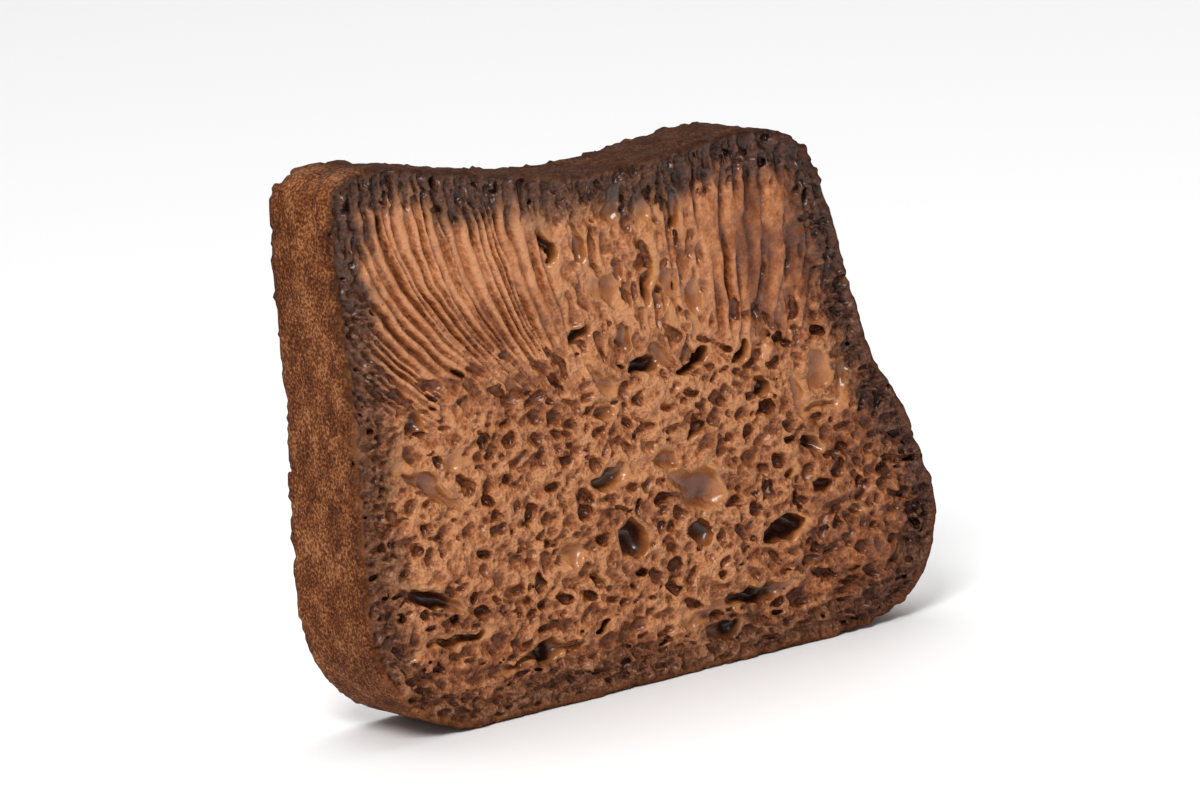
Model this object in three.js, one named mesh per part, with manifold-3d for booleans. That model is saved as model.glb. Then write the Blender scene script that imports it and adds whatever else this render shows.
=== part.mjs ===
// Burnt toast: one thick slice of a small tin loaf, cut square and toasted until its rim charred.
// It stands on its flat bottom crust, with the better cut face towards -Y.
// Millimetres, +X to the right of the cut face, +Z up, origin under the middle of the slice.

import * as THREE from 'three';
import { mergeVertices } from 'three/addons/utils/BufferGeometryUtils.js';
import Module from 'manifold-3d';

// The slice: thickest at the foot, and thinner above the height where the back face leans in
const THICK_FOOT = 18.6;
const THICK_TOP = 15.6;
const LEAN_FROM = 28;
const HEIGHT = 75;
const EDGE_ROUND = 1.5;
const EDGE_FACETS = 2;

// Outline of the cut face as [x, z]: a flat foot, then up the right side, over the saddle, down the left
const FOOT_LEFT = -28;
const FOOT_RIGHT = 27;
const RIGHT_HIP = [[33, 0.6], [38.6, 2.4], [43.4, 7], [45.8, 15.3], [44.2, 22.5]];
const RIGHT_WAIST = [[41, 31.5], [37.6, 37.2], [36.4, 42]];
const RIGHT_EAR = [[34.6, 50.5], [32.6, 60.5], [30.2, 66.4], [26, 69.4], [19.5, 70.5]];
const SADDLE = [[9, 69.7], [-3, 69], [-16, 70.7]];
const LEFT_EAR = [[-29, 73.6], [-37.5, HEIGHT], [-42.2, 74], [-44.5, 70.8]];
const LEFT_SIDE = [[-45, 60], [-44.7, 46], [-45.3, 31], [-45.8, 16.5]];
const LEFT_HIP = [[-44, 9], [-39.6, 3.7], [-34, 0.8]];
const OUTLINE_STEP = 2.8;

// Swells and hollows of the baked crust, slanting across it and absent from the flat foot
const SWELL = 0.25;
const SWELL_LENGTH = 23;
const SWELL_SLANT_X = 0.6;
const SWELL_SLANT_Z = 0.4;
const SWELL_FROM = 1;
const SWELL_FULL = 8;
const CRUST_STEPS = 3;

// Width of the dense charred rim that rings the open crumb
const RIM = 6.5;

// Main gas holes of the shown face: centre x and z, half length, half height, turn in degrees, depth
const GAS_HOLES = [
  [0.7, 42.2, 2.7, 1.4, 5, 3.2],
  [9, 41.4, 2.6, 1.2, 20, 3],
  [16, 42, 2.2, 0.9, 62, 2.2],
  [-3.5, 20, 3.1, 2.2, -5, 3.4],
  [7.6, 24.6, 4, 3, -30, 2.6],
  [3.2, 29.4, 2.5, 1.4, 5, 1.8],
  [-6.6, 28.8, 2.6, 1.4, -5, 2.6],
  [-6, 37.4, 1.4, 1.2, 0, 2.4],
  [19, 36, 1.6, 1.2, 80, 2.8],
  [29, 36.6, 2.6, 1.8, 75, 1.3],
  [25.4, 34, 3.6, 1, 105, 1.5],
  [32.4, 35.4, 3.8, 1, 70, 1.6],
  [27, 26.9, 2, 1.1, -10, 3],
  [20.8, 15.8, 4.2, 1.6, 12, 3.6],
  [33.2, 16, 1.8, 0.7, -20, 2.2],
  [15, 8.2, 4.6, 1.2, 3, 3.2],
  [10, 4.6, 3.2, 0.8, 0, 2.6],
  [-9.2, 9, 2, 0.9, 0, 3.2],
  [-18.6, 7.4, 6.2, 0.8, 4, 2],
  [-32, 11.7, 6, 0.6, 3, 1.6],
  [-35.4, 18.2, 5, 1.2, -28, 2.6],
  [-33.8, 32.4, 6.4, 1, -40, 2],
  [-35, 41.4, 2.1, 1.7, 90, 2],
  [2.5, 52.8, 4.4, 0.8, 82, 2.8],
  [-12, 60, 2.6, 0.8, 90, 2.2],
  [8, 59.3, 1.3, 0.8, 80, 2.4],
  [-8.5, 47.6, 2, 1, 10, 2],
];
const HOLE_SIDES = 12;
const HOLE_RINGS = 6;

// Stretched cells below the saddle: they hang from the rim and all lean in towards a focus low in the crumb
const STREAK_FROM = -36;
const STREAK_TO = 26;
const STREAK_PITCH = 3.4;
const STREAK_TOP = 63;
const STREAK_ROW_DROP = 8.5;
const STREAK_ROWS = 3;
const STREAK_ROW_INSET = 5.1;
const STREAK_SWAY = 1.36;
const STREAK_STAGGER = 4.25;
const STREAK_SHORT = 2.4;
const STREAK_LONG = 5.2;
const STREAK_HALF_WIDTH = 0.75;
const STREAK_DEPTH = 1.3;
const STREAK_FOCUS = [4, 10];

// Round cells of the open crumb, scattered between the larger ones
const CELLS_SHOWN_FACE = 52;
const CELLS_BACK_FACE = 56;
const CELL_SMALL = 0.9;
const CELL_LARGE = 2.1;
const CELL_WALL = 0.45;
const CELL_TRIES = 6000;
const CELL_SIDES = 8;
const CELL_RINGS = 4;
const SEED = 41;
const DICE_FACTOR = 1664525;
const DICE_STEP = 1013904223;
const DICE_RANGE = 2 ** 32;

// Corners closer than this are one corner
const WELD_WITHIN = 1e-3;

// Colour of the toasted crumb and crust taken together
const TOAST_BROWN = 0x7a4c34;
const TOAST_ROUGHNESS = 0.7;

const wasm = await Module();
wasm.setup();

function outlineShape() {
  const start = new THREE.Vector2(FOOT_LEFT, 0);
  const right = [...RIGHT_HIP, ...RIGHT_WAIST, ...RIGHT_EAR];
  const left = [...LEFT_EAR, ...LEFT_SIDE, ...LEFT_HIP];
  const round = [...right, ...SADDLE, ...left];
  const shape = new THREE.Shape();
  shape.moveTo(start.x, start.y);
  shape.lineTo(FOOT_RIGHT, 0);
  shape.splineThru([...round.map(([x, z]) => new THREE.Vector2(x, z)), start]);
  return shape;
}

const OUTLINE = outlineShape();
const FACE = new THREE.Box2().setFromPoints(OUTLINE.getPoints());

// How far back the rear cut face lies at a height
function backAt(z) {
  const share = THREE.MathUtils.clamp((z - LEAN_FROM) / (HEIGHT - LEAN_FROM), 0, 1);
  return THREE.MathUtils.lerp(THICK_FOOT, THICK_TOP, share) - THICK_FOOT / 2;
}

// Long, low waves over the crust, fading out towards the flat foot
function swell(x, y, z) {
  const turn = 2 * Math.PI / SWELL_LENGTH;
  const wave = Math.sin(turn * (x + SWELL_SLANT_X * y)) * Math.cos(turn * (z - SWELL_SLANT_Z * y));
  return SWELL * wave * THREE.MathUtils.smoothstep(z, SWELL_FROM, SWELL_FULL);
}

function sliceGeometry(points) {
  const geometry = new THREE.ExtrudeGeometry(new THREE.Shape(points), {
    depth: THICK_FOOT - 2 * EDGE_ROUND,
    steps: CRUST_STEPS,
    bevelThickness: EDGE_ROUND,
    bevelSize: EDGE_ROUND,
    bevelOffset: -EDGE_ROUND,
    bevelSegments: EDGE_FACETS,
  });
  geometry.rotateX(Math.PI / 2);
  geometry.translate(0, THICK_FOOT / 2 - EDGE_ROUND, 0);
  const place = geometry.attributes.position;
  const middle = new THREE.Vector2(0, HEIGHT / 2);
  for (let i = 0; i < place.count; i += 1) {
    const x = place.getX(i);
    const y = place.getY(i);
    const z = place.getZ(i);
    const out = new THREE.Vector2(x, z).sub(middle).normalize().multiplyScalar(swell(x, y, z));
    const lean = y > 0 ? backAt(z) / (THICK_FOOT / 2) : 1;
    place.setXYZ(i, x + out.x, y * lean, z + out.y);
  }
  return geometry;
}

// A closed geometry as a solid that can be cut
function solidOf(geometry) {
  const bare = geometry.clone();
  bare.deleteAttribute('normal');
  bare.deleteAttribute('uv');
  const merged = mergeVertices(bare, WELD_WITHIN);
  return new wasm.Manifold(new wasm.Mesh({
    numProp: 3,
    vertProperties: new Float32Array(merged.attributes.position.array),
    triVerts: new Uint32Array(merged.index.array),
  }));
}

// An egg-shaped hollow centred on a cut face: side is -1 for the shown face and 1 for the back
function hollow({ x, z, halfLength, halfHeight, turn, depth, side }, sides, rings) {
  const egg = new THREE.SphereGeometry(1, sides, rings);
  egg.scale(halfLength, depth, halfHeight);
  egg.rotateY(-THREE.MathUtils.degToRad(turn));
  egg.translate(x, side < 0 ? -THICK_FOOT / 2 : backAt(z), z);
  return egg;
}

function gasHoles() {
  return GAS_HOLES.map(([x, z, halfLength, halfHeight, turn, depth]) => (
    { x, z, halfLength, halfHeight, turn, depth, side: -1 }
  ));
}

// Seeded random numbers from 0 to 1
function dice(seed) {
  let state = seed;
  return () => {
    state = (Math.imul(state, DICE_FACTOR) + DICE_STEP) >>> 0;
    return state / DICE_RANGE;
  };
}

// Circles along a cell's length that together cover its mouth
function mouth({ x, z, halfLength, halfHeight, turn }) {
  const radius = Math.min(halfLength, halfHeight);
  const reach = halfLength - radius;
  const angle = THREE.MathUtils.degToRad(turn);
  const count = Math.max(1, Math.ceil(2 * reach / radius));
  const circles = [];
  for (let i = 0; i <= count; i += 1) {
    const along = reach * (2 * i / count - 1);
    circles.push({ x: x + along * Math.cos(angle), z: z + along * Math.sin(angle), radius });
  }
  return circles;
}

// True where a cell keeps a wall to every circle that is already taken
function keepsWall(cell, taken) {
  return mouth(cell).every((a) => taken.every((b) => (
    Math.hypot(a.x - b.x, a.z - b.z) > a.radius + b.radius + CELL_WALL
  )));
}

function insideOutline(points, x, z) {
  let inside = false;
  points.forEach((a, i) => {
    const b = points[(i + 1) % points.length];
    const crosses = (a.y > z) !== (b.y > z);
    if (crosses && x < (b.x - a.x) * (z - a.y) / (b.y - a.y) + a.x) {
      inside = !inside;
    }
  });
  return inside;
}

// Staggered rows of stretched cells of uneven length
function streaks(taken, side, random) {
  const cells = [];
  for (let row = 0; row < STREAK_ROWS; row += 1) {
    const inset = row * STREAK_ROW_INSET;
    for (let along = STREAK_FROM + inset; along <= STREAK_TO - inset; along += STREAK_PITCH) {
      const x = along + STREAK_SWAY * (random() - 0.5);
      const z = STREAK_TOP - STREAK_ROW_DROP * row - STREAK_STAGGER * random();
      const turn = THREE.MathUtils.radToDeg(Math.atan2(STREAK_FOCUS[1] - z, STREAK_FOCUS[0] - x));
      const halfLength = THREE.MathUtils.lerp(STREAK_SHORT, STREAK_LONG, random());
      const cell = { x, z, halfLength, halfHeight: STREAK_HALF_WIDTH, turn, depth: STREAK_DEPTH, side };
      if (keepsWall(cell, taken)) {
        taken.push(...mouth(cell));
        cells.push(cell);
      }
    }
  }
  return cells;
}

// Round cells dropped at random inside the rim, the larger ones first
function roundCells(points, taken, count, side, random) {
  const cells = [];
  for (let tries = 0; tries < CELL_TRIES && cells.length < count; tries += 1) {
    const x = THREE.MathUtils.lerp(FACE.min.x, FACE.max.x, random());
    const z = THREE.MathUtils.lerp(FACE.min.y, FACE.max.y, random());
    const share = 1 - tries / CELL_TRIES;
    const radius = THREE.MathUtils.lerp(CELL_SMALL, CELL_LARGE, share * random());
    const cell = { x, z, halfLength: radius, halfHeight: radius, turn: 0, depth: radius, side };
    const inRim = points.every((p) => Math.hypot(x - p.x, z - p.y) > RIM + radius);
    if (inRim && insideOutline(points, x, z) && keepsWall(cell, taken)) {
      taken.push(...mouth(cell));
      cells.push(cell);
    }
  }
  return cells;
}

// All stretched and round cells of one cut face
function crumbCells(points, taken, count, side, random) {
  const stretched = streaks(taken, side, random);
  return [...stretched, ...roundCells(points, taken, count, side, random)];
}

function toastGeometry() {
  const random = dice(SEED);
  const holes = gasHoles();
  const points = OUTLINE.getSpacedPoints(Math.round(OUTLINE.getLength() / OUTLINE_STEP));
  const cells = [
    ...crumbCells(points, holes.flatMap(mouth), CELLS_SHOWN_FACE, -1, random),
    ...crumbCells(points, [], CELLS_BACK_FACE, 1, random),
  ];
  let toast = solidOf(sliceGeometry(points));
  for (const hole of holes) {
    toast = toast.subtract(solidOf(hollow(hole, HOLE_SIDES, HOLE_RINGS)));
  }
  for (const cell of cells) {
    toast = toast.subtract(solidOf(hollow(cell, CELL_SIDES, CELL_RINGS)));
  }
  const mesh = toast.getMesh();
  const geometry = new THREE.BufferGeometry();
  geometry.setAttribute('position', new THREE.BufferAttribute(mesh.vertProperties, 3));
  geometry.setIndex(new THREE.BufferAttribute(mesh.triVerts, 1));
  geometry.computeVertexNormals();
  return geometry;
}

const toasted = new THREE.MeshStandardMaterial({
  color: TOAST_BROWN,
  roughness: TOAST_ROUGHNESS,
  metalness: 0,
});

const slice = new THREE.Mesh(toastGeometry(), toasted);
slice.name = 'toast_slice';

const toast = new THREE.Group();
toast.add(slice);

export default toast;
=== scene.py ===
import math

import bpy
import numpy as np
import openvdb
from mathutils import Matrix, Vector


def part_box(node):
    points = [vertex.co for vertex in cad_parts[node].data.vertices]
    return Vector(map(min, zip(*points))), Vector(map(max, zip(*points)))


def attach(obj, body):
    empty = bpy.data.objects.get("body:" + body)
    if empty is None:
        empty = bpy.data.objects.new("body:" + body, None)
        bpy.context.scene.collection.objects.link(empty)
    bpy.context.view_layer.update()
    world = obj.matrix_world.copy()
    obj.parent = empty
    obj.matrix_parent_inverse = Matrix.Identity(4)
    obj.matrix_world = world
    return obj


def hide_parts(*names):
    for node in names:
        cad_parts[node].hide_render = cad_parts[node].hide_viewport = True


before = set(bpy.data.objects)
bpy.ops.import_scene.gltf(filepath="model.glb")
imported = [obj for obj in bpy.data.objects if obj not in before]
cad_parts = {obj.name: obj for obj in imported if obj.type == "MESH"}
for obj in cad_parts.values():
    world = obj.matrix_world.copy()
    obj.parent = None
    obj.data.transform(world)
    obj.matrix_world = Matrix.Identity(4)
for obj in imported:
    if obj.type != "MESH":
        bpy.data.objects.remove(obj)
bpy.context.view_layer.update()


# The baked form: a thick slice of a small tin loaf. The tin gave it a flat foot and a straight left side;
# the right side bulged at the hip and shrank above it, and the top sank to a saddle between two ears.
# The knife ran a little forward towards the top, so the slice is thickest where it stands.
MM = 0.001
face_low, face_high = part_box("toast_slice")
FRONT = face_low.y / MM
FOOT_BACK = face_high.y / MM
TALL = face_high.z / MM
LEAN_IN = 3.0
LEAN_FROM = 28.0
EDGE_ROUND = 1.2

FOOT_LEFT = (-28.0, 0.0)
FOOT_RIGHT = (27.0, 0.0)
RIGHT_HIP = [(33.0, 0.6), (38.6, 2.4), (43.4, 7.0), (45.8, 15.3), (44.2, 22.5)]
RIGHT_WAIST = [(41.0, 31.5), (37.6, 37.2), (36.4, 42.0)]
RIGHT_EAR = [(34.6, 50.5), (32.6, 60.5), (30.2, 66.4), (26.0, 69.4), (19.5, 70.5)]
SADDLE = [(9.0, 69.7), (-3.0, 69.0), (-16.0, 70.7)]
LEFT_EAR = [(-29.0, 73.6), (-37.5, TALL), (-42.2, 74.0), (-44.5, 70.8)]
LEFT_SIDE = [(-45.0, 60.0), (-44.7, 46.0), (-45.3, 31.0), (-45.8, 16.5)]
LEFT_HIP = [(-44.0, 9.0), (-39.6, 3.7), (-34.0, 0.8)]


def smooth_through(knots, steps):
    """Points of a rounded line that runs through every knot."""
    ends = [2 * np.array(knots[0]) - knots[1]] + [np.array(k) for k in knots]
    ends.append(2 * np.array(knots[-1]) - knots[-2])
    line = []
    for a, b, c, d in zip(ends, ends[1:], ends[2:], ends[3:]):
        for t in np.arange(steps) / steps:
            bend = (2 * a - 5 * b + 4 * c - d) * t**2 + (3 * b - a - 3 * c + d) * t**3
            line.append(b + 0.5 * ((c - a) * t + bend))
    return np.array(line + [ends[-2]])


right_side = RIGHT_HIP + RIGHT_WAIST + RIGHT_EAR
left_side = LEFT_EAR + LEFT_SIDE + LEFT_HIP
KNOT_STEPS = 8
rind = smooth_through([FOOT_RIGHT] + right_side + SADDLE + left_side + [FOOT_LEFT], KNOT_STEPS)

VOXEL = 0.22
ROOM = 1.5
xs = np.arange(face_low.x / MM - ROOM, face_high.x / MM + ROOM, VOXEL)
ys = np.arange(FRONT - ROOM, FOOT_BACK + ROOM, VOXEL)
zs = np.arange(-ROOM, TALL + ROOM, VOXEL)
flat_x, flat_z = np.meshgrid(xs, zs, indexing="ij")


def depth_inside(line):
    """How far each point of the cut face lies inside a closed line; negative outside it."""
    nearest = np.full(flat_x.shape, np.inf)
    inside = np.zeros(flat_x.shape, bool)
    for (ax, az), (bx, bz) in zip(line, np.roll(line, -1, axis=0)):
        ex, ez = bx - ax, bz - az
        along = ((flat_x - ax) * ex + (flat_z - az) * ez) / (ex * ex + ez * ez)
        along = np.clip(along, 0, 1)
        off = (flat_x - ax - along * ex) ** 2 + (flat_z - az - along * ez) ** 2
        nearest = np.minimum(nearest, off)
        if az != bz:
            crosses = (az > flat_z) != (bz > flat_z)
            inside ^= crosses & (flat_x < ax + (flat_z - az) * ex / ez)
    return np.where(inside, 1, -1) * np.sqrt(nearest)


def ramp(value, start, end):
    """0 before start, 1 after end, and an S-shaped rise between them."""
    t = np.clip((value - start) / (end - start), 0, 1)
    return t * t * (3 - 2 * t)


SEED = 41
rng = np.random.default_rng(SEED)


def mottle(wide, high=None):
    """Smooth random blotches from -1 to 1 over the cut face, wide by high millimetres each."""
    u = (xs - xs[0]) / wide
    v = (zs - zs[0]) / (high or wide)
    dots = rng.uniform(-1, 1, (int(u[-1]) + 2, int(v[-1]) + 2))
    iu, iv = u.astype(int), v.astype(int)
    fu, fv = ramp(u - iu, 0, 1)[:, None], ramp(v - iv, 0, 1)[None, :]
    near_row = dots[iu][:, iv] * (1 - fv) + dots[iu][:, iv + 1] * fv
    far_row = dots[iu + 1][:, iv] * (1 - fv) + dots[iu + 1][:, iv + 1] * fv
    return near_row * (1 - fu) + far_row * fu


def lumps(pitch):
    """Smooth random blotches from -1 to 1 through the block, one every pitch millimetres."""
    counts = [int((s[-1] - s[0]) / pitch) + 2 for s in (xs, ys, zs)]
    field = rng.uniform(-1, 1, counts).astype(np.float32)
    for axis, s in enumerate((xs, ys, zs)):
        u = (s - s[0]) / pitch
        i = u.astype(int)
        shape = [1, 1, 1]
        shape[axis] = len(s)
        f = ramp(u - i, 0, 1).astype(np.float32).reshape(shape)
        field = np.take(field, i, axis) * (1 - f) + np.take(field, i + 1, axis) * f
    return field


edge_in = depth_inside(rind)
back_at = FOOT_BACK - LEAN_IN * np.clip((zs - LEAN_FROM) / (TALL - LEAN_FROM), 0, 1)


# The streaks: below the saddle the rising dough drew its cells out into strands that hang from the top
# crust. Under the left ear they swing to the right as they fall and crowd together.
STREAK_PITCH = 1.7
STREAKS = 95
FIRST_STREAK = -100
ROOT_X = [-60, -38, -28, -18, -8, 12, 28]
SWING_DEGREES = [52, 50, 39, 23, 9, 0, -14]
SWING_FROM = 68
SWING_FALL = 26
SWING_EASE = 0.55
STREAK_WIDTHS = (0.45, 1.5)
CREST_DEEP = (-0.4, 0.7)
GROOVE_DEEP = 0.7
GROOVE_VARIES = 1.6
# How dark the grooves are painted, at their deepest: painted shade.
GROOVE_DARK = 1.15
STRAND_SHADE = (-0.4, 0.5)
SADDLE_LEFT = (-17, -9)
SADDLE_RIGHT = (4, 10)
UPRIGHT_FROM = (57, 64)
DRAWN_FROM = 39
DRAWN_FULL = 50
LAYERED_TO = 7
LAYERS_END = 12
CURLS_TO = 4.0
CURLS_END = 7.0
hang = np.zeros(flat_x.shape)
lean = np.zeros(flat_x.shape)
roots = np.arange(-95.0, 45.0, 0.5)
swing = np.radians(np.interp(roots, ROOT_X, SWING_DEGREES))
strand_x = roots.copy()
for k in reversed(range(len(zs))):
    fallen = swing * np.clip((SWING_FROM - zs[k]) / SWING_FALL, 0, 1) ** SWING_EASE
    strand_x += VOXEL * np.tan(fallen)
    hang[:, k] = np.interp(xs, strand_x, roots)
    lean[:, k] = np.interp(xs, strand_x, fallen)
hang += (0.4 + 0.3 * ramp(flat_x, -8, 8)) * mottle(6) + 0.25 * mottle(2.5)


def strands():
    """Depth and shade of the drawn-out cut face: rounded strands with narrow grooves between them.
    The shade is a random tone for each strand, darkened into the grooves as painted shade.
    """
    grooves = np.cumsum(rng.uniform(*STREAK_WIDTHS, STREAKS)) * STREAK_PITCH + FIRST_STREAK
    after = np.clip(np.searchsorted(grooves, hang), 1, len(grooves) - 1)
    across = np.clip((hang - grooves[after - 1]) / (grooves[after] - grooves[after - 1]), 0, 1)
    beside = np.where(across < 0.5, after - 1, after)
    level = np.arange(len(zs))[None, :]

    def drift(low, high, pitch):
        """A value for each strand that changes slowly on the way down."""
        v = (zs - zs[0]) / pitch
        i = v.astype(int)
        dots = rng.uniform(low, high, (len(grooves), i[-1] + 2))
        f = ramp(v - i, 0, 1)
        return dots[:, i] * (1 - f) + dots[:, i + 1] * f

    crest = drift(*CREST_DEEP, 9)[after, level]
    broken = ramp(hang, -20, -8)
    groove = drift(0, 1, 6)[beside, level]
    floor_deep = GROOVE_DEEP - 0.8 * broken + (GROOVE_VARIES + 0.4 * broken) * groove
    floor_deep = np.maximum(floor_deep, crest)
    hollow = np.abs(2 * across - 1)
    # The grooves' colour is darkened with their depth: painted shade.
    dark = GROOVE_DARK * hollow**2.4 * ramp(floor_deep - crest, 0, 0.9)
    shade = drift(*STRAND_SHADE, 7)[after, level] - dark
    return crest + (floor_deep - crest) * hollow**1.9, shade


def rough_cut():
    """Depth under the knife's plane, shade, and how far it is drawn out, over one cut face."""
    middle = ramp(hang, *SADDLE_LEFT) * (1 - ramp(hang, *SADDLE_RIGHT))
    reach = flat_z + 4.5 * mottle(7) + 2 * mottle(2.5)
    drawn = ramp(reach, DRAWN_FROM, DRAWN_FULL) * (1 - 0.55 * middle)
    strand_deep, strand_shade = strands()
    crumbs = 0.35 + 0.4 * mottle(4.0) + 0.4 * mottle(1.4) + 0.16 * mottle(0.7)
    layers = 0.4 + 0.5 * mottle(5.0, 0.9) + 0.3 * mottle(1.2)
    foot = 1 - ramp(flat_z + mottle(6), LAYERED_TO, LAYERS_END)
    depth = crumbs * (1 - 0.7 * drawn) + layers * foot + drawn * strand_deep
    upright = ramp(flat_z + mottle(5), *UPRIGHT_FROM)
    ridges = upright * mottle(0.9, 2.8) + (1 - upright) * mottle(2.4, 0.9)
    curls = 0.75 * (1 - np.exp(-((ridges / 0.3) ** 2)))
    curls += 0.35 * (1 - np.exp(-((mottle(0.8) / 0.35) ** 2)))
    rim = 1 - ramp(edge_in + 0.8 * mottle(3), CURLS_TO, CURLS_END)
    depth = (0.3 + depth) * (1 - 0.55 * rim) + curls * rim
    depth = np.maximum(depth, 0) * ramp(edge_in, 0.15, 1.4)
    return depth.astype(np.float32), drawn * strand_shade, drawn


front_deep, front_shade, front_drawn = rough_cut()
back_deep, back_shade, back_drawn = rough_cut()
cut_front = (FRONT + front_deep).astype(np.float32)
cut_back = (back_at[None, :] - back_deep).astype(np.float32)


# The open crumb: gas blown up in the dough left cells, and the knife laid them open. They are round in the
# middle, pressed flat over the foot and drawn out below the saddle; the large ones keep a glossy skin.
GLAZED_FROM = 1.25
LIP_ROUND = 0.1
HOLE_SINK = 0.4
HOLE_ROOM = 2.5
FAR = 9.0
CELL_SKEW = 2.5
CELL_SINK = (-0.5, 0.4)
CELL_DEEP = (0.9, 1.5)
GLAZED_SHALLOWER = 0.35
CELL_CROWDING = 0.8
CELL_WALL = 0.1
CELLS_DRAWN = (38, 48)
PRESSED_TO = 7
PRESSED_END = 14
small_cell = np.full((len(xs), len(ys), len(zs)), FAR, np.float32)
gas_hole = small_cell.copy()


def window(centre, reach):
    """The part of the block within reach of a point, as slices."""
    start = (xs[0], ys[0], zs[0])
    size = (len(xs), len(ys), len(zs))
    lows = [max(0, int((c - reach - s) / VOXEL)) for c, s in zip(centre, start)]
    highs = [min(n, int((c + reach - s) / VOXEL) + 2) for c, s, n in zip(centre, start, size)]
    return tuple(slice(a, b) for a, b in zip(lows, highs))


bent_x = flat_x + 0.9 * mottle(3.6) + 0.45 * mottle(1.5)
bent_z = flat_z + 0.9 * mottle(3.6) + 0.45 * mottle(1.5)


def egg(centre, radii, turn, place):
    """Distance to a crooked egg-shaped skin: radii along its length, across it, and into the crumb."""
    x = bent_x[place[0], place[2]] - centre[0]
    z = bent_z[place[0], place[2]] - centre[2]
    along = (x * math.cos(turn) + z * math.sin(turn)) / radii[0]
    across = (z * math.cos(turn) - x * math.sin(turn)) / radii[1]
    deep = (ys[place[1]] - centre[1]) / radii[2]
    share = np.sqrt((along**2 + across**2)[:, None, :] + (deep**2)[None, :, None])
    return ((share - 1) * min(radii)).astype(np.float32)


def at(field, *spot):
    """A field's value at one place, given by x and z on the cut face or by x, y and z in the block."""
    start = (xs[0], zs[0]) if len(spot) == 2 else (xs[0], ys[0], zs[0])
    return field[tuple(int((c - s) / VOXEL) for c, s in zip(spot, start))]


# Large gas holes of the shown face: centre x and z, half length, half height, turn in degrees, depth
GAS_HOLES = [
    (0.7, 42.2, 2.7, 1.3, 5, 3.4),
    (9.0, 41.4, 2.5, 1.1, 20, 3.2),
    (16.0, 42.0, 2.2, 0.8, 62, 2.4),
    (-3.5, 20.0, 3.0, 2.2, -5, 3.6),
    (7.6, 24.6, 4.0, 3.0, -30, 2.0),
    (3.2, 29.4, 2.5, 1.4, 5, 1.6),
    (-6.6, 28.8, 2.6, 1.4, -5, 2.6),
    (-6.0, 37.4, 1.3, 1.1, 0, 2.4),
    (19.0, 36.0, 1.5, 1.1, 80, 2.8),
    (29.0, 36.6, 2.6, 1.8, 75, 1.3),
    (25.4, 34.0, 3.6, 1.0, 105, 1.5),
    (32.4, 35.4, 3.8, 1.0, 70, 1.6),
    (28.6, 31.6, 2.4, 0.8, 10, 1.4),
    (27.0, 26.9, 1.9, 1.1, -10, 3.0),
    (22.0, 24.0, 1.0, 0.8, 0, 2.0),
    (20.8, 15.8, 4.2, 1.5, 12, 3.8),
    (33.2, 16.0, 1.8, 0.7, -20, 2.4),
    (15.0, 8.2, 4.6, 1.2, 3, 3.4),
    (10.0, 4.6, 3.2, 0.9, 0, 2.8),
    (-9.2, 9.0, 2.0, 0.9, 0, 3.4),
    (-18.6, 7.6, 6.2, 0.8, 4, 2.4),
    (-32.0, 11.7, 6.0, 0.6, 3, 2.0),
    (-35.4, 18.2, 5.0, 1.3, -28, 2.8),
    (-33.8, 32.4, 6.4, 1.0, -40, 2.0),
    (-35.0, 41.4, 2.0, 1.6, 90, 2.2),
    (2.5, 52.8, 4.4, 0.8, 82, 2.8),
    (-12.0, 60.0, 2.6, 0.8, 90, 2.4),
    (8.0, 59.3, 1.3, 0.8, 80, 2.4),
    (5.0, 51.5, 1.1, 0.8, 0, 1.8),
    (-8.5, 47.6, 2.0, 1.0, 10, 2.2),
]
for x, z, half_long, half_high, turn, deep in GAS_HOLES:
    centre = (x, FRONT + HOLE_SINK, z)
    place = window(centre, half_long + HOLE_ROOM)
    wall = egg(centre, (half_long, half_high, deep), math.radians(turn), place)
    gas_hole[place] = np.minimum(gas_hole[place], wall)


def blow_cells(side, count, small, large, allowed):
    """Opens cells on one cut face, the largest first, each all but clear of the ones before it."""
    x = rng.uniform(xs[0], xs[-1], count)
    z = rng.uniform(zs[0], zs[-1], count)
    radius = np.sort(small + (large - small) * rng.random(count) ** CELL_SKEW)[::-1]
    sink = rng.uniform(*CELL_SINK, count) * radius
    deep = rng.uniform(*CELL_DEEP, count) - GLAZED_SHALLOWER * (radius > GLAZED_FROM)
    tilt = 0.6 * rng.standard_normal(count)
    longer = 1 + 0.4 * rng.random(count)
    for k in np.flatnonzero(allowed(x, z, radius)):
        cut = at(cut_front if side < 0 else cut_back, x[k], z[k])
        spot = (x[k], cut - side * sink[k], z[k])
        drawn = float(ramp(z[k], *CELLS_DRAWN))
        pressed = float(1 - ramp(z[k], PRESSED_TO, PRESSED_END))
        stretch = longer[k] + 1.3 * drawn + 1.4 * pressed
        turn = tilt[k] * (1 - max(drawn, pressed)) + drawn * (at(lean, x[k], z[k]) - math.pi / 2)
        slim = radius[k] / math.sqrt(stretch)
        if min(at(small_cell, *spot), at(gas_hole, *spot)) < CELL_CROWDING * slim + CELL_WALL:
            continue
        place = window(spot, radius[k] * max(1.5, stretch) + 1.6)
        wall = egg(spot, (slim * stretch, slim, deep[k] * slim), turn, place)
        field = gas_hole if radius[k] > GLAZED_FROM else small_cell
        field[place] = np.minimum(field[place], wall)


CRUMB_TOP = 47
STREAK_FOOT = 44
RIM = 7
MIDDLE_X, MIDDLE_Z = 1, 52
MIDDLE_WIDE, MIDDLE_HIGH = 11, 14


def inside_by(x, z):
    """How far places on the cut face lie inside the rind."""
    return edge_in[((x - xs[0]) / VOXEL).astype(int), ((z - zs[0]) / VOXEL).astype(int)]


def in_crumb(x, z, radius):
    """The open crumb inside the burnt rim."""
    return (inside_by(x, z) > 4.5 + radius) & (z < CRUMB_TOP)


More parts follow.
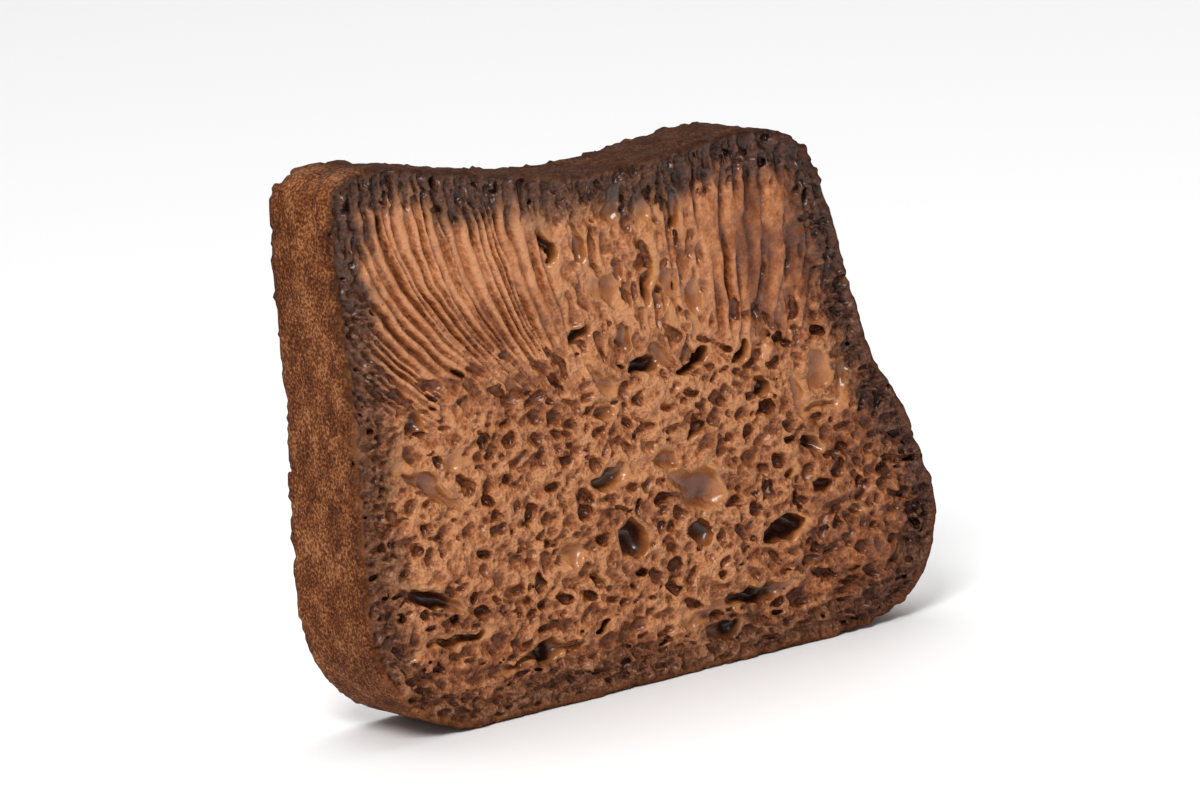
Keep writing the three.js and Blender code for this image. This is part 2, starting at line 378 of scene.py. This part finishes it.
def in_middle(x, z, radius):
    """The patch of broken strands below the saddle."""
    return np.hypot((x - MIDDLE_X) / MIDDLE_WIDE, (z - MIDDLE_Z) / MIDDLE_HIGH) < 1


def below_streaks(x, z, radius):
    """The crumb and that patch, out into the burnt rim."""
    return (inside_by(x, z) > 2.5 + radius) & ((z < STREAK_FOOT) | in_middle(x, z, radius))


def in_rim(x, z, radius):
    """The burnt rim all round."""
    return (inside_by(x, z) > 0.4 + radius) & (inside_by(x, z) < RIM)


# Cells tried on each face: how many, smallest and largest radius, and where they may open
CELL_TRIES = [
    (50, 1.2, 2.3, in_crumb),
    (1800, 0.9, 1.9, in_middle),
    (6000, 0.5, 1.15, in_crumb),
    (12000, 0.55, 1.0, in_middle),
    (26000, 0.32, 0.6, below_streaks),
    (4000, 0.35, 0.6, in_rim),
]
for side in (-1, 1):
    for count, small, large, allowed in CELL_TRIES:
        blow_cells(side, count, small, large, allowed)

gas_hole += 0.35 * lumps(2.4) + 0.2 * lumps(1.1)
small_cell += 0.2 * lumps(1.2) + 0.12 * lumps(0.7)
deep_y = ys.astype(np.float32)[None, :, None]
outer = np.maximum(cut_front[:, None, :] - deep_y, deep_y - cut_back[:, None, :])
near_top = ramp(zs, 60, 68).astype(np.float32)[None, None, :]
crumbly = 0.06 + 0.2 * ramp(outer, -2.2, -0.4) + 0.16 * near_top
inner = -edge_in.astype(np.float32)[:, None, :] + crumbly * (lumps(0.8) + lumps(2.0) + 0.5)
outer += EDGE_ROUND
inner += EDGE_ROUND
corner = np.hypot(np.maximum(outer, 0), np.maximum(inner, 0))
skin = corner + np.minimum(np.maximum(outer, inner), 0) - EDGE_ROUND
cells = np.minimum(small_cell, gas_hole)
meet = np.clip(0.5 - 0.5 * (skin + cells) / LIP_ROUND, 0, 1)
bread = skin + (-cells - skin) * meet + LIP_ROUND * meet * (1 - meet)
BAND = 3 * VOXEL
bread = np.clip(bread, -BAND, BAND)

block = openvdb.FloatGrid(BAND)
block.copyFromArray(bread.astype(np.float32))
spots, _, quads = block.convertToPolygons(isovalue=0.0, adaptivity=0.0)


def one_shell(spots, quads):
    """Keeps the largest shell: no loose scraps, no bubbles shut inside."""
    sides = np.concatenate([quads[:, [0, 1]], quads[:, [1, 2]], quads[:, [2, 3]]]).astype(np.int64)
    label = np.arange(len(spots))
    while True:
        low = np.minimum(label[sides[:, 0]], label[sides[:, 1]])
        joined = label.copy()
        np.minimum.at(joined, sides[:, 0], low)
        np.minimum.at(joined, sides[:, 1], low)
        joined = joined[joined[joined]]
        if (joined == label).all():
            break
        label = joined
    kept = label == np.bincount(label).argmax()
    number = np.cumsum(kept) - 1
    return spots[kept], number[quads[kept[quads[:, 0]]]]


spots, quads = one_shell(spots, quads)
spots = spots * VOXEL + np.array([xs[0], ys[0], zs[0]])
toast_mesh = bpy.data.meshes.new("toast")
toast_mesh.vertices.add(len(spots))
toast_mesh.vertices.foreach_set("co", spots.astype(np.float32).ravel())
toast_mesh.loops.add(quads.size)
toast_mesh.loops.foreach_set("vertex_index", quads.astype(np.int32).ravel())
toast_mesh.polygons.add(len(quads))
toast_mesh.polygons.foreach_set("loop_start", np.arange(0, quads.size, 4, dtype=np.int32))
toast_mesh.update(calc_edges=True)
toast = bpy.data.objects.new("toast", toast_mesh)
bpy.context.scene.collection.objects.link(toast)

# The shown face keeps its fine cells, and the mesh is thinned out behind it.
TRIANGLES = 197000
SHOWN_DEEP = 5
SHOWN_SPARE = 0.9
SPARING = 2.0
thin = toast.modifiers.new("thin out", "DECIMATE")
thin.ratio = TRIANGLES / (2 * len(quads))
thin.use_collapse_triangulate = True
spare = toast.vertex_groups.new(name="may thin out")
shown = spots[:, 1] < FRONT + SHOWN_DEEP
spare.add(np.flatnonzero(shown).tolist(), SHOWN_SPARE, "REPLACE")
spare.add(np.flatnonzero(~shown).tolist(), 1.0, "REPLACE")
thin.vertex_group = spare.name
thin.vertex_group_factor = SPARING
thinned_toast = toast.evaluated_get(bpy.context.evaluated_depsgraph_get())
thinned = bpy.data.meshes.new_from_object(thinned_toast)
toast.modifiers.clear()
toast.vertex_groups.clear()
toast.data = thinned
bpy.data.meshes.remove(toast_mesh)
thinned.shade_smooth()


# The browning: the sides took the even, sandy brown of the tin, the rim of the cut faces charred black,
# and the crumb toasted tan with a random tone. Painted shade darkens the crumb into its cells, pits and
# grooves, and a painted highlight lightens the cell lips.
spots = np.zeros(len(thinned.vertices) * 3, np.float32)
thinned.vertices.foreach_get("co", spots)
spots = spots.reshape(-1, 3)
column = ((spots[:, 0] - xs[0]) / VOXEL).astype(int), ((spots[:, 2] - zs[0]) / VOXEL).astype(int)
under_front = spots[:, 1] - FRONT
under_back = back_at[column[1]] - spots[:, 1]
under_cut = np.minimum(under_front, under_back)

BURN_WIDE = 6.0
BURN_SOFT_IN = 1.8
BURN_SOFT_OUT = 3.6
burn_wide = BURN_WIDE + 0.6 * ramp(flat_x, 18, 32) + 0.6 * ramp(flat_z, 52, 64)
BURN_HARD = 0.95
over_foot = 1 - ramp(flat_z, 5, 14)
right_corner = ramp(flat_x, 26, 36)
lower_left = (1 - ramp(flat_x, -42, -32)) * (1 - ramp(flat_z, 50, 62))
burn_hard = BURN_HARD - 0.27 * over_foot * (1 - 0.6 * right_corner) - 0.2 * lower_left
burn_edge = edge_in + 1.5 * mottle(4) + 0.9 * mottle(1.6) + 0.5 * mottle(0.8)
right_crumb = ramp(flat_x, 14, 32) * (1 - 0.6 * ramp(flat_z, 24, 40))
left_streaks = ramp(flat_z, 42, 52) * (1 - ramp(flat_x, -12, 6))
right_streaks = ramp(flat_z, 40, 48) * ramp(flat_x, 8, 20)
low_crumb = 1 - ramp(flat_z, 6, 20)
tone = 0.55 + 0.3 * mottle(8) + 0.35 * mottle(3.2)
tone += 0.4 * left_streaks - 0.6 * right_crumb - 0.65 * right_streaks - 0.25 * low_crumb


def mark(name, values):
    """Keeps one value for each point of the mesh, for the material to read."""
    layer = thinned.attributes.new(name, "FLOAT", "POINT")
    layer.data.foreach_set("value", values.astype(np.float32))


scorched = ramp(flat_z + 1.5 * mottle(4), 64, 69) * ramp(flat_x + 2 * mottle(3), -45, -36)
side_skin = 1 - ramp(edge_in + 0.3 * mottle(1.0), 0.2, 1.3)
behind_edge = ramp(under_cut + 0.8 * mottle(1.5)[column], 0.0, 2.4)
on_front = under_front < under_back
drawn = np.where(on_front, front_drawn[column], back_drawn[column])
strand_shade = np.where(on_front, front_shade[column], back_shade[column])
level_y = ((spots[:, 1] - ys[0]) / VOXEL).astype(int)
to_hole = gas_hole[column[0], level_y, column[1]]
to_cell = np.minimum(to_hole, small_cell[column[0], level_y, column[1]])
glazed = 1 - ramp(to_hole, 0.05, 0.3)
# The char reaches further down the grooves, led by the strand shade, whose groove darkening is painted
# shade.
burn_from = burn_edge[column] + 2.2 * strand_shade - burn_wide[column]
burnt = burn_hard[column] * (1 - ramp(burn_from, -BURN_SOFT_OUT, BURN_SOFT_IN))
# Cell lips, the thin walls round each cell, are lightened in the colour: a painted highlight.
lip_painted_highlight = ramp(to_cell, 0.05, 0.25) * (1 - ramp(to_cell, 0.3, 0.8))
foam = (1 - 0.6 * drawn) * (1 - 0.75 * glazed) * (1 - 0.6 * side_skin[column])
mark("burnt", burnt)
mark("crust", side_skin[column] * (1 - 0.75 * scorched[column]) * (0.25 + 0.75 * behind_edge))
in_cell = under_cut - np.where(on_front, front_deep[column], back_deep[column])
# Sunk: how deep a point lies under the cut, more so inside a cell; the colours darken with it as painted
# shade.
mark("sunk", np.clip(0.22 * (under_cut - 0.4) + 0.42 * in_cell * (1 - 0.65 * glazed), 0, 1))
mark("glazed", glazed)
mark("foam", foam)
# Toast tone, random and by region, with the strands' groove shade and the cell lips' highlight painted in.
mark("browning_and_painted_light", 0.02 + 0.36 * foam - 0.4 * (tone[column] + strand_shade) - 0.16 * lip_painted_highlight)
thinned.transform(Matrix.Scale(MM, 4))

toasted = bpy.data.materials.new("toast")
toasted.use_nodes = True
nodes = toasted.node_tree.nodes
wire = toasted.node_tree.links.new
skin_shader = nodes["Principled BSDF"]


def marked(name):
    """A value that the mesh keeps for each point."""
    node = nodes.new("ShaderNodeAttribute")
    node.attribute_name = name
    return node.outputs["Fac"]


grain_place = nodes.new("ShaderNodeTexCoord").outputs["Object"]


def grain(scale, detail):
    """Fine random grain; scale is how many spots there are to the metre."""
    node = nodes.new("ShaderNodeTexNoise")
    node.inputs["Scale"].default_value = scale
    node.inputs["Detail"].default_value = detail
    wire(grain_place, node.inputs["Vector"])
    return node.outputs["Fac"]


def froth(scale):
    """Fine bubbles: 0 in the middle of each, rising to its wall."""
    node = nodes.new("ShaderNodeTexVoronoi")
    node.inputs["Scale"].default_value = scale
    wire(grain_place, node.inputs["Vector"])
    return node.outputs["Distance"]


def plus(a, b, times):
    """a + b * times"""
    node = nodes.new("ShaderNodeMath")
    node.operation = "MULTIPLY_ADD"
    wire(b, node.inputs[0])
    node.inputs[1].default_value = times
    wire(a, node.inputs[2])
    return node.outputs["Value"]


def product(a, b):
    """a * b"""
    node = nodes.new("ShaderNodeMath")
    node.operation = "MULTIPLY"
    wire(a, node.inputs[0])
    wire(b, node.inputs[1])
    return node.outputs["Value"]


def shades(factor, stops):
    """A colour picked along a row of shades, light to dark or dark to light."""
    node = nodes.new("ShaderNodeValToRGB")
    while len(node.color_ramp.elements) < len(stops):
        node.color_ramp.elements.new(0.5)
    for element, (place, colour) in zip(node.color_ramp.elements, stops):
        element.position = place
        element.color = (*colour, 1)
    wire(factor, node.inputs["Fac"])
    return node.outputs["Color"]


def blend(a, b, share):
    """Colour a, with colour b laid over it by its share."""
    node = nodes.new("ShaderNodeMix")
    node.data_type = "RGBA"
    wire(share, node.inputs["Factor"])
    wire(a, node.inputs[6])
    wire(b, node.inputs[7])
    return node.outputs[2]


SAND = 2600
MOTTLES = 700
BLOTCHES = 300
FROTH = 950
FINE_FROTH = 2100
fine = grain(SAND, 3)
bubbles = product(plus(froth(FROTH), froth(FINE_FROTH), 0.6), marked("foam"))
# The fine froth darkens the colour in the middle of each bubble and lightens its wall, and sunk darkens it
# with depth: painted shade. The froth is also the bump's relief.
shade = plus(plus(plus(marked("browning_and_painted_light"), marked("sunk"), 0.8), fine, 0.35), bubbles, -0.5)
crumb_colour = shades(plus(shade, grain(MOTTLES, 2), 0.6), [
    (0.1, (0.51, 0.215, 0.09)),
    (0.3, (0.39, 0.142, 0.051)),
    (0.52, (0.25, 0.075, 0.021)),
    (0.78, (0.14, 0.036, 0.008)),
    (1.0, (0.085, 0.019, 0.004)),
])
# Glossy cells darken with depth: painted shade.
glaze_colour = shades(plus(marked("sunk"), grain(MOTTLES, 2), 0.3), [
    (0.25, (0.46, 0.185, 0.058)),
    (0.6, (0.26, 0.08, 0.021)),
    (1.0, (0.05, 0.012, 0.003)),
])
# The char darkens with depth and in the froth's hollows: painted shade.
char_colour = shades(plus(plus(marked("sunk"), fine, 0.9), bubbles, -0.3), [
    (0.1, (0.13, 0.056, 0.035)),
    (0.4, (0.055, 0.018, 0.009)),
    (0.65, (0.012, 0.003, 0.001)),
])
crust_colour = shades(plus(grain(SAND, 2), grain(BLOTCHES, 3), 0.55), [
    (0.59, (0.045, 0.010, 0.002)),
    (0.78, (0.135, 0.038, 0.009)),
    (1.0, (0.35, 0.14, 0.056)),
])
open_colour = blend(crumb_colour, glaze_colour, marked("glazed"))
cut_colour = blend(open_colour, char_colour, marked("burnt"))
wire(blend(cut_colour, crust_colour, marked("crust")), skin_shader.inputs["Base Color"])
cut_open = 1 - side_skin[column]
mark("dull", 0.95 - 0.45 * cut_open)
mark("glossy", np.clip(0.35 + 0.5 * glazed - 0.2 * burnt + 0.25 * drawn, 0, 1) * cut_open)
wire(marked("dull"), skin_shader.inputs["Roughness"])
wire(marked("glossy"), skin_shader.inputs["Coat Weight"])
COAT_ROUGHNESS = 0.22
SHINE = 0.15
FROTH_DEEP = 0.5 * MM
skin_shader.inputs["Coat Roughness"].default_value = COAT_ROUGHNESS
skin_shader.inputs["Specular IOR Level"].default_value = SHINE
bump = nodes.new("ShaderNodeBump")
bump.inputs["Strength"].default_value = 1.0
bump.inputs["Distance"].default_value = FROTH_DEEP
wire(plus(bubbles, fine, 0.25), bump.inputs["Height"])
wire(bump.outputs["Normal"], skin_shader.inputs["Normal"])
thinned.materials.append(toasted)
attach(toast, "root")
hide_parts("toast_slice")


# The floor: a plain pale table top, matt and wide enough to fill the view.
# The slice stands on it by its own flat foot.
FLOOR = 3.0
FLOOR_COLOUR = (0.9, 0.9, 0.9, 1)
FLOOR_ROUGHNESS = 0.6
floor_mesh = bpy.data.meshes.new("floor")
corners = [(-FLOOR, -FLOOR, 0), (FLOOR, -FLOOR, 0), (FLOOR, FLOOR, 0), (-FLOOR, FLOOR, 0)]
floor_mesh.from_pydata(corners, [], [(0, 1, 2, 3)])
floor = bpy.data.objects.new("floor", floor_mesh)
bpy.context.scene.collection.objects.link(floor)
pale = bpy.data.materials.new("pale_floor")
pale.use_nodes = True
pale.node_tree.nodes["Principled BSDF"].inputs["Base Color"].default_value = FLOOR_COLOUR
pale.node_tree.nodes["Principled BSDF"].inputs["Roughness"].default_value = FLOOR_ROUGHNESS
floor_mesh.materials.append(pale)


# Light: a dim white tent, with a soft lamp in front and to the left that draws the relief,
# and a wide one overhead, behind the slice, that keeps the floor pale.
TENT_STRENGTH = 0.35
world = bpy.data.worlds.new("tent")
bpy.context.scene.world = world
world.use_nodes = True
world.node_tree.nodes["Background"].inputs["Color"].default_value = (1, 1, 1, 1)
world.node_tree.nodes["Background"].inputs["Strength"].default_value = TENT_STRENGTH
bpy.context.scene.view_settings.view_transform = "Standard"


def soft_lamp(name, place, aim, size, power):
    """A square lamp of this size in metres and power in watts, turned towards aim."""
    lamp = bpy.data.lights.new(name, "AREA")
    lamp.shape = "SQUARE"
    lamp.size = size
    lamp.energy = power
    holder = bpy.data.objects.new(name, lamp)
    holder.location = place
    holder.rotation_euler = (Vector(aim) - Vector(place)).to_track_quat("-Z", "Y").to_euler()
    bpy.context.scene.collection.objects.link(holder)


soft_lamp("key", place=(-0.5, -0.5, 0.7), aim=(0, 0, 0.03), size=0.35, power=8.0)
soft_lamp("roof", place=(0.3, 0.7, 1.5), aim=(0.2, 0.6, 0), size=1.8, power=20.0)


# The camera: a long lens in front of the slice, left of it and a little above. The slice leant back in
# the photograph and stands upright here, so the camera is rolled to keep its place relative to the slice.
AZIMUTH = math.radians(-33.3)
ELEVATION = math.radians(12.9)
DISTANCE = 0.862
ROLL = math.radians(6.2)
LENS = 195.0
SENSOR = 36.0
aim = Vector((-0.001, 0.0, 0.0372))
sideways = Vector((math.sin(AZIMUTH), -math.cos(AZIMUTH), 0)) * math.cos(ELEVATION)
eye = Vector((0, FRONT * MM, 0)) + DISTANCE * (sideways + Vector((0, 0, math.sin(ELEVATION))))
camera = bpy.data.objects.new("camera", bpy.data.cameras.new("camera"))
camera.data.lens = LENS
camera.data.sensor_width = SENSOR
camera.location = eye
look = (aim - eye).to_track_quat("-Z", "Y").to_matrix()
camera.rotation_euler = (look @ Matrix.Rotation(-ROLL, 3, "Z")).to_euler()
bpy.context.scene.collection.objects.link(camera)
bpy.context.scene.camera = camera
